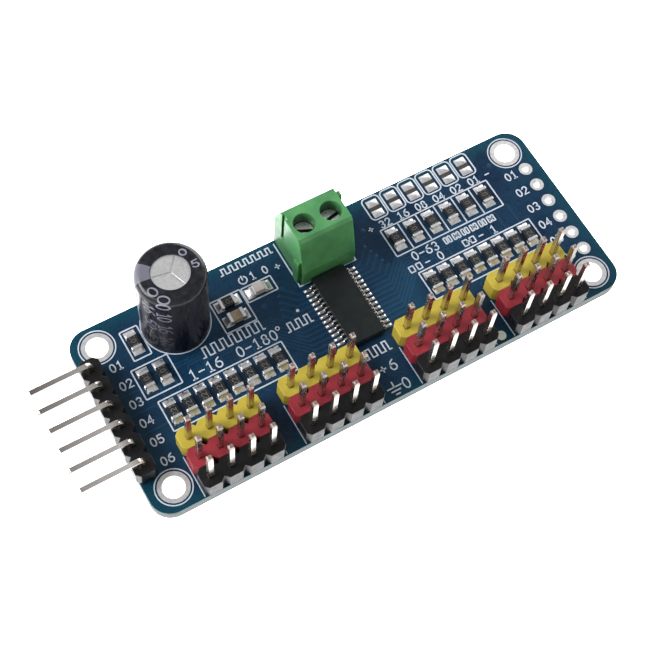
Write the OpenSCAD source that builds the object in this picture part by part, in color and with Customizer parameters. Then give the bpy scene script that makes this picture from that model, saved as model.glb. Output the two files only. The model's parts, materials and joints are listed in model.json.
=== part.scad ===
// Sixteen-output servo driver board with screw terminals and pin headers.
// Origin: centre of the mounting-hole pattern on the underside of the board.
// +X runs along the board to the empty plated pads, +Y to the wire entries,
// +Z up out of the component side.  All lengths are millimetres.

/* [Circuit board] */
// Length of the board
board_l = 62; // [61.6:0.1:64]
// Width of the board
board_w = 24.6; // [24.6:0.1:26]
// Thickness of the board
board_t = 1.6; // [1.2:0.1:2]
// Radius of the board's corners
corner_r = 2.5; // [1:0.1:3]
// Spacing of the mounting holes along the board
hole_span_x = 55.88; // [55.7:0.02:56]
// Spacing of the mounting holes across the board
hole_span_y = 19.05; // [18.9:0.05:19.2]
// Diameter of the plated mounting holes
hole_d = 2.6; // [2.2:0.1:2.8]

/* [Pin headers] */
// Height of the plastic strips
strip_h = 2.5; // [2.3:0.1:2.8]
// Free length of a servo pin above its strip
pin_free = 5.5; // [4:0.1:7]
// Length of a pin below the board
pin_tail = 1.4; // [1:0.1:2]
// Width of a square pin
pin_w = 0.64; // [0.6:0.02:0.66]
// Reach of the side header's pins from their solder holes
side_reach = 7.45; // [5:0.05:9]
// Height of the side header's pins above the board
side_pin_z = 3.5; // [3.45:0.05:4]

/* [Screw terminal] */
// Distance between the two wires
pole_pitch = 3.5; // [3.5:0.01:3.6]
// Width of the housing
block_w = 7; // [7:0.05:7.2]
// Height of the housing
block_h = 8.2; // [8.2:0.1:9.5]
// Diameter of the screw heads
screw_head_d = 2.4; // [2.2:0.1:2.4]
// Travel of the wire clamps from open to closed
clamp_travel = 1.4; // [0.5:0.1:1.4]

/* [Capacitor] */
// Diameter over the plastic sleeve
cap_d = 8; // [7.6:0.1:8]
// Height above the board
cap_h = 12.3; // [9:0.1:16]
// Diameter of the bare metal seen inside the sleeve's lip
cap_disc_d = 4.4; // [4:0.1:6]

/* [Driver chip] */
// Length of the moulded body
chip_l = 9.7; // [9.6:0.1:9.8]
// Width of the moulded body
chip_w = 4.4; // [4.3:0.1:4.5]
// Number of leads on each side
chip_leads = 14; // [14:1:14]

/* [Hidden] */
$fn = 48;
tin = [0.80, 0.80, 0.78];
bright_pin = [0.77, 0.75, 0.73];
solder_grey = [0.72, 0.73, 0.74];
steel = [0.72, 0.73, 0.74];
black = [0.11, 0.11, 0.12];
glaze = [0.14, 0.14, 0.15];
pitch = 2.54;
blocks = 4;
columns = 4;
side_pins = 6;
output_resistors = 8;
address_bits = 6;
plate = 0.05;
land = 0.04;
top = board_t;
notch = 0.5;
tip = 0.25;
hole_r = hole_d / 2;
hole_ring_r = 1.85;

// Servo header grid: the ground row's strips are flush with the front edge
row_y = [for (r = [0:2]) -board_w / 2 + pitch / 2 + r * pitch];
block_x = [-24.13, -11.43, 3.81, 16.51];
pin_top = top + strip_h + pin_free;
header_hole_r = 0.5;
header_pad_r = 0.85;
solder_neck_r = 0.5;
solder_h = 0.8;

// Side header on the left and the empty plated holes on the right
side_x = -29.95;
spare_x = 29;
side_y = [for (i = [0:side_pins - 1]) (i - (side_pins - 1) / 2) * pitch];
bend_r = 0.35;

// Screw terminal, measured from the board's top face
tb_x = 0.1;
tb_in = 5.35;
tb_out = 12.3;
pole_x = [tb_x - pole_pitch / 2, tb_x + pole_pitch / 2];
screw_y = 8.65;
well_r = 1.3;
well_floor = top + 5.6;
head_h = 0.8;
shaft_r = 0.95;
run_gap = 0.05;
cage_w = 2.4;
cage_l = 2.4;
cage_wall = 0.4;
cage_floor = 0.4;
cage_roof = 0.6;
cage_z = top + 0.7;
window_h = 2;
cage_top = cage_z + cage_floor + window_h + cage_roof;
cage_gap = 0.1;
slot_w = 0.45;
slot_depth = 0.45;
screw_turns = [-25, 12];
bar_w = 1.5;
bar_t = 0.5;
contact_pin_w = 0.7;
contact_pin_inset = 0.02;
contact_pad_r = 0.95;
contact_neck_r = 0.55;
bar_z = top + 2.55;
post_y = 6.2;
chamber_top = cage_top + clamp_travel + cage_gap;
entry_z = top + 1;
entry_h = 2;
entry_w = 2.1;
entry_flare = 0.5;
dove_y = 10.35;
dove_w = 0.5;
dove_d = 0.5;
dove_z = top + 3.6;
dove_h = block_h - 3.9;
groove_d = 0.3;
groove_z = top + 3.4;
foot_rib_y = 6.4;
foot_rib_w = 0.7;
foot_rib_d = 0.45;
foot_rib_h = 4.4;
rear_chamfer = [1.2, 2.6];
front_fold_h = 2.8;
front_lean = 1.25;
front_chamfer = [0.35, 0.4];

// Capacitor
cap_x = -18.6;
cap_y = 8.2;
cap_r = cap_d / 2;
sleeve_t = 0.15;
can_r = cap_r - sleeve_t;
can_t = 0.25;
can_z = top + 0.3;
can_top = top + cap_h - sleeve_t;
shoulder_r = 0.8;
score_w = 0.24;
score_depth = 0.1;
score_turns = [50, 170, 290];
bung_h = 1.9;
winding_r = can_r - can_t - 0.15;
winding_h = cap_h - bung_h - 1.2;
cap_lead_r = 0.3;
cap_lead_end = 0.8;
cap_lead_x = 1.75;
cap_hole_r = 0.4;
cap_pad_r = 0.8;
cap_neck_r = 0.4;

// Driver chip
chip_x = -0.2;
chip_y = 0.25;
chip_h = 1;
chip_lift = 0.1;
chip_draft = 0.08;
chip_band = 0.1;
dot_r = 0.4;
dot_depth = 0.06;
dot_inset = 0.8;
lead_pitch = 0.65;
lead_w = 0.22;
lead_t = 0.15;
lead_reach = 3.2;
lead_shoulder = 0.18;
lead_bend = 0.32;

// Chip parts: [length, width, height, end-cap length]
r0805 = [2, 1.25, 0.5, 0.35];
c0805 = [2, 1.25, 0.85, 0.4];
out_pitch = 1.93;
out_y = -1.62;
out_left_x = -23.88;
out_right_x = 10.6;
addr_x = 9.6;
addr_y = 5.47;
jumper_y = 10.35;
jumper_pad = [1.45, 0.95];
jumper_gap = 0.55;
led_size = [2, 1.25];
led_cap = 0.3;
led_base_h = 0.4;
led_top = 0.85;
led_draft = 0.12;
led_x = -8.2;
led_y = 7.33;
ceramic_x = -12.18;
ceramic_y = 5.3;

// Places of the four single resistors: [x, y, turn]
single_resistors = [[-24.8, 3.2, 90], [-22.75, 3.2, 90], [-23.97, 8.1, 90], [-12.2, 7.45, 0]];

// ---------------------------------------------------------------- helpers

// Rectangle centred on the origin with round corners
module round_rect(l, w, r) {
    square([l - 2 * r, w], center = true);
    square([l, w - 2 * r], center = true);
    for (x = [-1, 1], y = [-1, 1])
        translate([x * (l / 2 - r), y * (w / 2 - r)]) circle(r);
}

// Upright cylinder at a place
module post(x, y, z, r, h) {
    translate([x, y, z]) cylinder(r = r, h = h);
}

// Box from its lowest corner and its highest corner
module span_box(low, high) {
    translate(low) cube(high - low);
}

module at_mounting_holes() {
    for (x = [-1, 1], y = [-1, 1])
        translate([x * hole_span_x / 2, y * hole_span_y / 2, 0]) children();
}

module at_block_pins(b) {
    for (c = [0:columns - 1], y = row_y)
        translate([block_x[b] + c * pitch, y, 0]) children();
}

module at_side_pins(x) {
    for (y = side_y) translate([x, y, 0]) children();
}

// Plated hole: a thin barrel through the board with a ring on each face
module plated_hole(r, ring_r) {
    difference() {
        union() {
            post(0, 0, -land, ring_r, land);
            post(0, 0, 0, r + plate, board_t);
            post(0, 0, board_t, ring_r, land);
        }
        post(0, 0, -1, r, board_t + 2);
    }
}

// Outline of a strip of eight-sided cells in a row along X, first cell at x = 0
function strip_side(n, s) = [for (i = [0:n - 1]) let (k = s > 0 ? n - 1 - i : i)
    for (q = [0:2]) let (d = [-pitch / 2, -pitch / 2 + notch, pitch / 2 - notch][q])
        [k * pitch - s * d, s * (q == 0 ? pitch / 2 - notch : pitch / 2)]];

module strip_outline(n) {
    polygon(concat(strip_side(n, -1),
        [[(n - 1) * pitch + pitch / 2, -pitch / 2 + notch]], strip_side(n, 1),
        [[-pitch / 2, pitch / 2 - notch]]));
}

// Header strip with square sockets for its pins
module header_strip(n) {
    linear_extrude(strip_h) difference() {
        strip_outline(n);
        for (i = [0:n - 1]) translate([i * pitch, 0]) square(pin_w, center = true);
    }
}

// Side outline of a straight pin, with both ends chamfered
module pin_profile(z0, z1) {
    h = pin_w / 2;
    c = h - tip / 2;
    polygon([[-h, z0 + tip], [-c, z0], [c, z0], [h, z0 + tip],
        [h, z1 - tip], [c, z1], [-c, z1], [-h, z1 - tip]]);
}

// Square pin with four-sided chamfered ends, from z0 to z1
module square_pin(z0, z1) {
    intersection() {
        rotate([90, 0, 0]) linear_extrude(pin_w, center = true) pin_profile(z0, z1);
        rotate([90, 0, 90]) linear_extrude(pin_w, center = true) pin_profile(z0, z1);
    }
}

// Solder that fills a hole and forms a cone round the pin under the board
module solder_joint(fill_r, foot_r, neck_r, h) {
    translate([0, 0, -h]) cylinder(r1 = neck_r, r2 = foot_r, h = h);
    cylinder(r = fill_r, h = board_t);
}

// Body and end caps of a chip part, lying along X
module chip_core(s) {
    translate([0, 0, top + land + s[2] / 2]) cube([s[0] - 2 * s[3], s[1], s[2]], center = true);
}

module chip_caps(s) {
    for (k = [-1, 1])
        translate([k * (s[0] - s[3]) / 2, 0, top + land + s[2] / 2])
            cube([s[3], s[1] + 0.04, s[2] + 0.04], center = true);
}

module at_output_resistors(x0) {
    for (i = [0:output_resistors - 1])
        translate([x0 + i * out_pitch, out_y, 0]) rotate(90) children();
}

module at_address_resistors() {
    for (i = [0:address_bits - 1])
        translate([addr_x + i * pitch, addr_y, 0]) rotate(90) children();
}

module at_single_resistors() {
    for (p = single_resistors) translate([p[0], p[1], 0]) rotate(p[2]) children();
}

// ---------------------------------------------------------------- board

module circuit_board() {
    color([0.08, 0.22, 0.40]) difference() {
        linear_extrude(board_t) round_rect(board_l, board_w, corner_r);
        at_mounting_holes() post(0, 0, -1, hole_r + plate, board_t + 2);
        at_side_pins(spare_x) post(0, 0, -1, header_hole_r + plate, board_t + 2);
        at_side_pins(side_x) post(0, 0, -1, header_hole_r, board_t + 2);
        for (b = [0:blocks - 1]) at_block_pins(b) post(0, 0, -1, header_hole_r, board_t + 2);
        for (x = pole_x) post(x, post_y + bar_t / 2, -1, header_hole_r, board_t + 2);
        for (k = [-1, 1]) post(cap_x + k * cap_lead_x, cap_y, -1, cap_hole_r, board_t + 2);
    }
}

module mounting_hole_rings() {
    color(tin) at_mounting_holes() plated_hole(hole_r, hole_ring_r);
}

module spare_header_pads() {
    color(tin) at_side_pins(spare_x) plated_hole(header_hole_r, header_pad_r);
}

module address_jumper_pads() {
    gap = (jumper_pad[1] + jumper_gap) / 2;
    color(tin) for (i = [0:address_bits - 1], k = [-1, 1])
        translate([addr_x + i * pitch, jumper_y + k * gap, top + land / 2])
            cube([jumper_pad[0], jumper_pad[1], land], center = true);
}

// ---------------------------------------------------------------- servo headers

module servo_strip(b, r, c) {
    color(c) translate([block_x[b], row_y[r], top]) header_strip(columns);
}

module signal_strip(b) { servo_strip(b, 2, [0.76, 0.71, 0.23]); }
module power_strip(b) { servo_strip(b, 1, [0.66, 0.14, 0.18]); }
module ground_strip(b) { servo_strip(b, 0, black); }

module servo_pins(b) {
    color(bright_pin) at_block_pins(b) square_pin(-pin_tail, pin_top);
}

module servo_solder(b) {
    color(solder_grey) difference() {
        at_block_pins(b) solder_joint(header_hole_r, header_pad_r, solder_neck_r, solder_h);
        at_block_pins(b) translate([0, 0, -1]) linear_extrude(board_t + 2) square(pin_w, center = true);
    }
}

// ---------------------------------------------------------------- side header

module side_header_strip() {
    color(black) translate([side_x, side_y[0], top]) rotate(90) header_strip(side_pins);
}

// Outline of one bent pin in its own plane: X outward is negative, Y is height
module bent_pin_profile() {
    h = pin_w / 2;
    c = h - tip / 2;
    z = top + side_pin_z;
    out_r = bend_r + pin_w;
    polygon([[-h, -pin_tail + tip], [-c, -pin_tail], [c, -pin_tail], [h, -pin_tail + tip],
        [h, z - h - bend_r], [-h, z - h - bend_r]]);
    polygon([[-h - bend_r, z - h], [-h - bend_r, z + h], [-side_reach + tip, z + h],
        [-side_reach, z + c], [-side_reach, z - c], [-side_reach + tip, z - h]]);
    intersection() {
        translate([-h - bend_r, z - h - bend_r]) difference() {
            circle(out_r);
            circle(bend_r);
        }
        translate([-h - bend_r, z - h - bend_r]) square(out_r);
    }
}

module side_header_pins() {
    color(bright_pin) at_side_pins(side_x)
        rotate([90, 0, 0]) linear_extrude(pin_w, center = true) bent_pin_profile();
}

module side_header_solder() {
    color(solder_grey) difference() {
        at_side_pins(side_x) solder_joint(header_hole_r, header_pad_r, solder_neck_r, solder_h);
        at_side_pins(side_x) translate([0, 0, -1])
            linear_extrude(board_t + 2) square(pin_w, center = true);
    }
}

// ---------------------------------------------------------------- screw terminal

// Side outline of the housing: X is the board's Y, Y is height above the board
module housing_profile() {
    lean = tb_in + front_lean;
    polygon([[tb_in, 0], [tb_out, 0], [tb_out, block_h - rear_chamfer[1]],
        [tb_out - rear_chamfer[0], block_h], [lean + front_chamfer[0], block_h],
        [lean, block_h - front_chamfer[1]], [tb_in, front_fold_h]]);
}

// Dovetail along Z that joins blocks side by side
module dovetail(w, d, h) {
    linear_extrude(h) polygon([[0, -w / 2], [d, -w / 2 - 0.15], [d, w / 2 + 0.15], [0, w / 2]]);
}

module pole_hollow(x) {
    half = cage_w / 2 + run_gap;
    // chamber in which the clamp rises
    deep = cage_l / 2 + cage_gap;
    span_box([x - half, screw_y - deep, cage_z], [x + half, screw_y + deep, chamber_top]);
    // well for the screw's head, and the hole for its shaft
    post(x, screw_y, well_floor, well_r, block_h);
    post(x, screw_y, chamber_top - 1, shaft_r + run_gap, well_floor - chamber_top + 2);
    // wire entry with a flared mouth
    span_box([x - entry_w / 2, screw_y, entry_z], [x + entry_w / 2, tb_out + 1, entry_z + entry_h]);
    translate([x, tb_out - entry_flare, entry_z + entry_h / 2]) rotate([-90, 0, 0])
        cylinder(r1 = entry_w / 2, r2 = entry_w / 2 + entry_flare, h = entry_flare);
    // slot for the contact's bar and post
    span_box([x - bar_w / 2, post_y, bar_z], [x + bar_w / 2, screw_y, bar_z + bar_t]);
    span_box([x - bar_w / 2, post_y, top - 1], [x + bar_w / 2, post_y + bar_t, bar_z + bar_t]);
}

module terminal_housing() {
    color([0.33, 0.60, 0.38]) difference() {
        union() {
            translate([tb_x - block_w / 2, 0, top]) rotate([90, 0, 90])
                linear_extrude(block_w) housing_profile();
            translate([tb_x + block_w / 2, dove_y, dove_z]) dovetail(dove_w, dove_d, dove_h);
            translate([tb_x - block_w / 2, foot_rib_y, top]) rotate(180)
                dovetail(foot_rib_w, foot_rib_d, foot_rib_h);
        }
        for (x = pole_x) pole_hollow(x);
        translate([tb_x - block_w / 2 - 0.01, dove_y, groove_z])
            dovetail(dove_w + 0.1, groove_d, block_h);
    }
}

module terminal_screw(x, turn) {
    shaft_z = cage_z + cage_floor + window_h;
    color(steel) translate([x, screw_y, 0]) difference() {
        union() {
            post(0, 0, well_floor, screw_head_d / 2, head_h);
            post(0, 0, shaft_z, shaft_r, well_floor - shaft_z);
        }
        translate([0, 0, well_floor + head_h]) rotate(turn)
            cube([2 * screw_head_d, slot_w, 2 * slot_depth], center = true);
    }
}

module terminal_screw_1() { terminal_screw(pole_x[0], screw_turns[0]); }
module terminal_screw_2() { terminal_screw(pole_x[1], screw_turns[1]); }

// Box-shaped clamp that the screw lifts towards the contact's bar
module wire_clamp(x) {
    color(steel) translate([x, screw_y, cage_z]) difference() {
        span_box([-cage_w / 2, -cage_l / 2, 0], [cage_w / 2, cage_l / 2, cage_top - cage_z]);
        span_box([-cage_w / 2 + cage_wall, -cage_l, cage_floor],
            [cage_w / 2 - cage_wall, cage_l, cage_floor + window_h]);
        post(0, 0, cage_floor, shaft_r + run_gap, cage_top);
    }
}

module wire_clamp_1() { wire_clamp(pole_x[0]); }
module wire_clamp_2() { wire_clamp(pole_x[1]); }

// Solder pin of a contact, from z0 to z1
module contact_pin(x, z0, z1) {
    span_box([x - contact_pin_w / 2, post_y + contact_pin_inset, z0],
        [x + contact_pin_w / 2, post_y + bar_t - contact_pin_inset, z1]);
}

// Fixed contact: a bar through the clamp, a post and a solder pin
module terminal_contact(x) {
    color(tin) {
        span_box([x - bar_w / 2, post_y, top], [x + bar_w / 2, post_y + bar_t, bar_z + bar_t]);
        span_box([x - bar_w / 2, post_y, bar_z], [x + bar_w / 2, screw_y + cage_l / 2, bar_z + bar_t]);
        contact_pin(x, -pin_tail, top);
    }
}

module terminal_contact_1() { terminal_contact(pole_x[0]); }
module terminal_contact_2() { terminal_contact(pole_x[1]); }

module terminal_solder() {
    color(solder_grey) difference() {
        for (x = pole_x) translate([x, post_y + bar_t / 2, 0])
            solder_joint(header_hole_r, contact_pad_r, contact_neck_r, solder_h);
        for (x = pole_x) contact_pin(x, -2, top + 1);
    }
}

// ---------------------------------------------------------------- capacitor

// Half section of a round can from the axis: X is radius, Y is height
module can_section(r, z0, z1, fillet) {
    translate([0, z0]) square([r, z1 - z0 - fillet]);
    translate([0, z0]) square([r - fillet, z1 - z0]);
    translate([r - fillet, z1 - fillet]) circle(fillet);
}

module at_capacitor() {
    translate([cap_x, cap_y, 0]) children();
}

module capacitor_can() {
    color(tin) at_capacitor() difference() {
        rotate_extrude() difference() {
            can_section(can_r, can_z, can_top, shoulder_r - sleeve_t);
            translate([0, -1])
                can_section(can_r - can_t, can_z, can_top - can_t + 1, shoulder_r - can_t - sleeve_t);
            translate([-can_r, can_z - 2]) square([can_r, cap_h + 4]);
        }
        // pressure-relief score: three grooves that meet in the middle
        for (a = score_turns) rotate(a)
            translate([0, -score_w / 2, can_top - score_depth])
                cube([cap_disc_d / 2 - 0.15, score_w, 1]);
    }
}

module capacitor_sleeve() {
    color(black) at_capacitor() rotate_extrude() difference() {
        can_section(cap_r, can_z, can_top + sleeve_t, shoulder_r);
        can_section(can_r, can_z - 1, can_top, shoulder_r - sleeve_t);
        translate([-cap_r, can_z - 2]) square([cap_r, cap_h + 4]);
        translate([0, can_z]) square([cap_disc_d / 2, cap_h]);
    }
}

module capacitor_bung() {
    color(black) at_capacitor() difference() {
        post(0, 0, can_z - 0.1, can_r - can_t, bung_h);
        for (k = [-1, 1]) post(k * cap_lead_x, 0, 0, cap_lead_r, 6);
    }
}

module capacitor_winding() {
    color([0.80, 0.75, 0.60]) at_capacitor() difference() {
        post(0, 0, can_z + bung_h, winding_r, winding_h);
        for (k = [-1, 1]) post(k * cap_lead_x, 0, 0, cap_lead_r, can_z + bung_h + cap_lead_end);
    }
}

module capacitor_leads() {
    color(bright_pin) at_capacitor()
        for (k = [-1, 1])
            post(k * cap_lead_x, 0, -pin_tail, cap_lead_r, can_z + bung_h + cap_lead_end + pin_tail);
}

module capacitor_solder() {
    color(solder_grey) at_capacitor() difference() {
        for (k = [-1, 1]) translate([k * cap_lead_x, 0, 0])
            solder_joint(cap_hole_r, cap_pad_r, cap_neck_r, solder_h);
        for (k = [-1, 1]) post(k * cap_lead_x, 0, -2, cap_lead_r, board_t + 4);
    }
}

// ---------------------------------------------------------------- driver chip

// Cross-section of the moulding, widest at the parting line
module chip_section(w) {
    low = chip_lift;
    high = chip_lift + chip_h;
    mid = (low + high) / 2;
    wide = w / 2;
    narrow = w / 2 - chip_draft;
    polygon([[-narrow, low], [narrow, low], [wide, mid - chip_band], [wide, mid + chip_band],
        [narrow, high], [-narrow, high], [-wide, mid + chip_band], [-wide, mid - chip_band]]);
}

module driver_chip_body() {
    color(black) translate([chip_x, chip_y, top]) difference() {
        intersection() {
            rotate([90, 0, 0]) linear_extrude(chip_l + 1, center = true) chip_section(chip_w);
            rotate([90, 0, 90]) linear_extrude(chip_w + 1, center = true) chip_section(chip_l);
        }
        post(-chip_w / 2 + dot_inset, chip_l / 2 - dot_inset, chip_lift + chip_h - dot_depth, dot_r, 1);
    }
}

// Gull-wing lead on the +X side: X is outward, Y is height above the board
module lead_profile() {
    z = chip_lift + chip_h / 2;
    h = lead_t / 2;
    x = chip_w / 2;
    knee = x + lead_shoulder;
    foot = x + lead_bend;
    out = lead_bend - lead_shoulder;
    polygon([[x, z - h], [knee, z - h], [foot, land], [lead_reach, land],
        [lead_reach, land + lead_t], [foot + out, land + lead_t], [knee + out, z + h], [x, z + h]]);
}

module driver_chip_leads() {
    color(bright_pin) for (i = [0:chip_leads - 1], s = [0, 1])
        translate([chip_x, chip_y + (i - (chip_leads - 1) / 2) * lead_pitch, top])
            mirror([s, 0, 0]) rotate([90, 0, 0]) linear_extrude(lead_w, center = true) lead_profile();
}

// ---------------------------------------------------------------- small parts

module output_resistors_left() { color(glaze) at_output_resistors(out_left_x) chip_core(r0805); }
module output_resistor_caps_left() { color(tin) at_output_resistors(out_left_x) chip_caps(r0805); }
module output_resistors_right() { color(glaze) at_output_resistors(out_right_x) chip_core(r0805); }
module output_resistor_caps_right() { color(tin) at_output_resistors(out_right_x) chip_caps(r0805); }
module address_resistors() { color(glaze) at_address_resistors() chip_core(r0805); }
module address_resistor_caps() { color(tin) at_address_resistors() chip_caps(r0805); }
module single_resistors() { color(glaze) at_single_resistors() chip_core(r0805); }
module single_resistor_caps() { color(tin) at_single_resistors() chip_caps(r0805); }

module at_ceramic_capacitor() { translate([ceramic_x, ceramic_y, 0]) children(); }
module ceramic_capacitor() { color([0.62, 0.52, 0.42]) at_ceramic_capacitor() chip_core(c0805); }
module ceramic_capacitor_caps() { color(tin) at_ceramic_capacitor() chip_caps(c0805); }

module at_power_led() { translate([led_x, led_y, top + land]) children(); }

module power_led_base() {
    color([0.92, 0.92, 0.88]) at_power_led() translate([0, 0, led_base_h / 2])
        cube([led_size[0] - 2 * led_cap, led_size[1], led_base_h], center = true);
}

module power_led_lens() {
    half = led_size[0] / 2 - led_cap;
    color([0.95, 0.95, 0.85]) at_power_led() rotate([90, 0, 0])
        linear_extrude(led_size[1] - 0.1, center = true)
            polygon([[-half, led_base_h], [half, led_base_h],
                [half - led_draft, led_top], [led_draft - half, led_top]]);
}

module power_led_caps() {
    color([0.85, 0.80, 0.60]) at_power_led() for (k = [-1, 1])
        translate([k * (led_size[0] - led_cap) / 2, 0, led_base_h / 2])
            cube([led_cap, led_size[1], led_base_h], center = true);
}

circuit_board();
mounting_hole_rings();
spare_header_pads();
signal_strip(0);  // servo_1_signal_strip
power_strip(0);  // servo_1_power_strip
ground_strip(0);  // servo_1_ground_strip
signal_strip(1);  // servo_2_signal_strip
power_strip(1);  // servo_2_power_strip
ground_strip(1);  // servo_2_ground_strip
signal_strip(2);  // servo_3_signal_strip
power_strip(2);  // servo_3_power_strip
ground_strip(2);  // servo_3_ground_strip
signal_strip(3);  // servo_4_signal_strip
power_strip(3);  // servo_4_power_strip
ground_strip(3);  // servo_4_ground_strip
servo_pins(0);  // servo_1_pins
servo_pins(1);  // servo_2_pins
servo_pins(2);  // servo_3_pins
servo_pins(3);  // servo_4_pins
servo_solder(0);  // servo_1_solder
servo_solder(1);  // servo_2_solder
servo_solder(2);  // servo_3_solder
servo_solder(3);  // servo_4_solder
side_header_strip();
side_header_pins();
side_header_solder();
terminal_housing();
terminal_screw_1();
terminal_screw_2();
wire_clamp_1();
wire_clamp_2();
terminal_contact_1();
terminal_contact_2();
terminal_solder();
capacitor_can();
capacitor_sleeve();
capacitor_bung();
capacitor_winding();
capacitor_leads();
capacitor_solder();
driver_chip_body();
driver_chip_leads();
output_resistors_left();
output_resistor_caps_left();
output_resistors_right();
output_resistor_caps_right();
address_resistors();
address_resistor_caps();
single_resistors();
single_resistor_caps();
ceramic_capacitor();
ceramic_capacitor_caps();
power_led_base();
power_led_lens();
power_led_caps();
address_jumper_pads();
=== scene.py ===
"""Looks for the servo driver board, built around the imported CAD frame.

Lengths below are millimetres in the board's own frame: X along the board, Y towards
the wire entries, Z up out of the component side.  MM turns them into metres.
"""

import json
import math
import random

import bmesh
import bpy
from mathutils import Matrix, Vector


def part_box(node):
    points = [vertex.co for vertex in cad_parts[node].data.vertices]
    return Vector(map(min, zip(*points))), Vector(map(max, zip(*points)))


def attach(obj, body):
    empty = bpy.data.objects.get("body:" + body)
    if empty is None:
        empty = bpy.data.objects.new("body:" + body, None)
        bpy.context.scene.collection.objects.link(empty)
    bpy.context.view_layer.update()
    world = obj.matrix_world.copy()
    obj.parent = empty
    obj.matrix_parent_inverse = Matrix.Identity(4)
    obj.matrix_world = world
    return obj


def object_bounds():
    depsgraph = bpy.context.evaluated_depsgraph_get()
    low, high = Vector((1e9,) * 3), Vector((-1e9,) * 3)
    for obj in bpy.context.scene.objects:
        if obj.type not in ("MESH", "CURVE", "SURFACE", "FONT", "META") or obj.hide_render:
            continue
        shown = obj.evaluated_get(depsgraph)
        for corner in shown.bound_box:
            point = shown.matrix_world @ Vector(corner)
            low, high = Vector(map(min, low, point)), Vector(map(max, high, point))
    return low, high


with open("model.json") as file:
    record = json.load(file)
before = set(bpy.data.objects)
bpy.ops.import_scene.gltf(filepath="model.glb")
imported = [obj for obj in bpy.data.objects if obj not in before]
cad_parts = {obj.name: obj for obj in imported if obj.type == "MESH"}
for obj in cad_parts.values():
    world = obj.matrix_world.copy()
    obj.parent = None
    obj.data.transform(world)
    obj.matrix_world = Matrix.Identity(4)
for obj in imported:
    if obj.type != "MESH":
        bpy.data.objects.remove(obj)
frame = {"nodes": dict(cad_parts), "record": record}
CAD_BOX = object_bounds()

MM = 0.001
NODES = frame["nodes"]
random.seed(7)

# ------------------------------------------------------------------ layout

PITCH = 2.54            # of the headers' pins
SILK_W = 0.16           # width of a printed line
SILK_Z = 0.045          # top of the print over the lacquer and its traces
TRACE_W = 0.24
TRACE_Z = 0.03
PAD_Z = 0.03
EDGE_GLARE_SPAN = (0.3, 2.2)   # painted reflection along the board's edges: full this near the edge, gone this far in
END_GLARE_SPAN = (0.5, 4.5)       # the same for the painted reflection at the side header's end of the board


def box_mm(node):
    """Lowest and highest corner of a CAD node, in millimetres."""
    low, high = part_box(node)
    return low / MM, high / MM


BOARD_LOW, BOARD_HIGH = box_mm("circuit_board")
TOP = BOARD_HIGH.z
UNDER = BOARD_LOW.z


def solids(node):
    """Boxes, in millimetres, of the separate solids of a CAD node, from left to right."""
    bm = bmesh.new()
    bm.from_mesh(NODES[node].data)
    bmesh.ops.remove_doubles(bm, verts=bm.verts, dist=1e-7)
    waiting = set(bm.verts)
    found = []
    while waiting:
        stack = [waiting.pop()]
        group = []
        while stack:
            v = stack.pop()
            group.append(v.co / MM)
            for e in v.link_edges:
                w = e.other_vert(v)
                if w in waiting:
                    waiting.remove(w)
                    stack.append(w)
        low = Vector([min(c[k] for c in group) for k in range(3)])
        high = Vector([max(c[k] for c in group) for k in range(3)])
        found.append((low, high))
    bm.free()
    return sorted(found, key=lambda b: (round(b[0].x, 2), round(b[0].y, 2)))


def middle(b):
    return (b[0] + b[1]) / 2


SCREWS = [middle(box_mm("terminal_screw_%d" % k)) for k in (1, 2)]
WELLS_MID_X = (SCREWS[0].x + SCREWS[1].x) / 2
WELL_OFF_X = (SCREWS[1].x - SCREWS[0].x) / 2
WELL_Y = SCREWS[0].y
WELL_R = 1.3            # radius of a screw well in the housing
WELL_TOP = box_mm("terminal_housing")[1].z
SCREW_TOP = box_mm("terminal_screw_1")[1].z
PIN_TOP = box_mm("servo_1_pins")[1].z
BENT_TIP = box_mm("side_header_pins")[0].x
SLOT_DEPTH = 0.35       # of the driver slot in a screw's head, as far as painted shade darkens it
CUT_END = 0.55          # length of the dull end of a servo pin


# ------------------------------------------------------------------ materials


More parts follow.
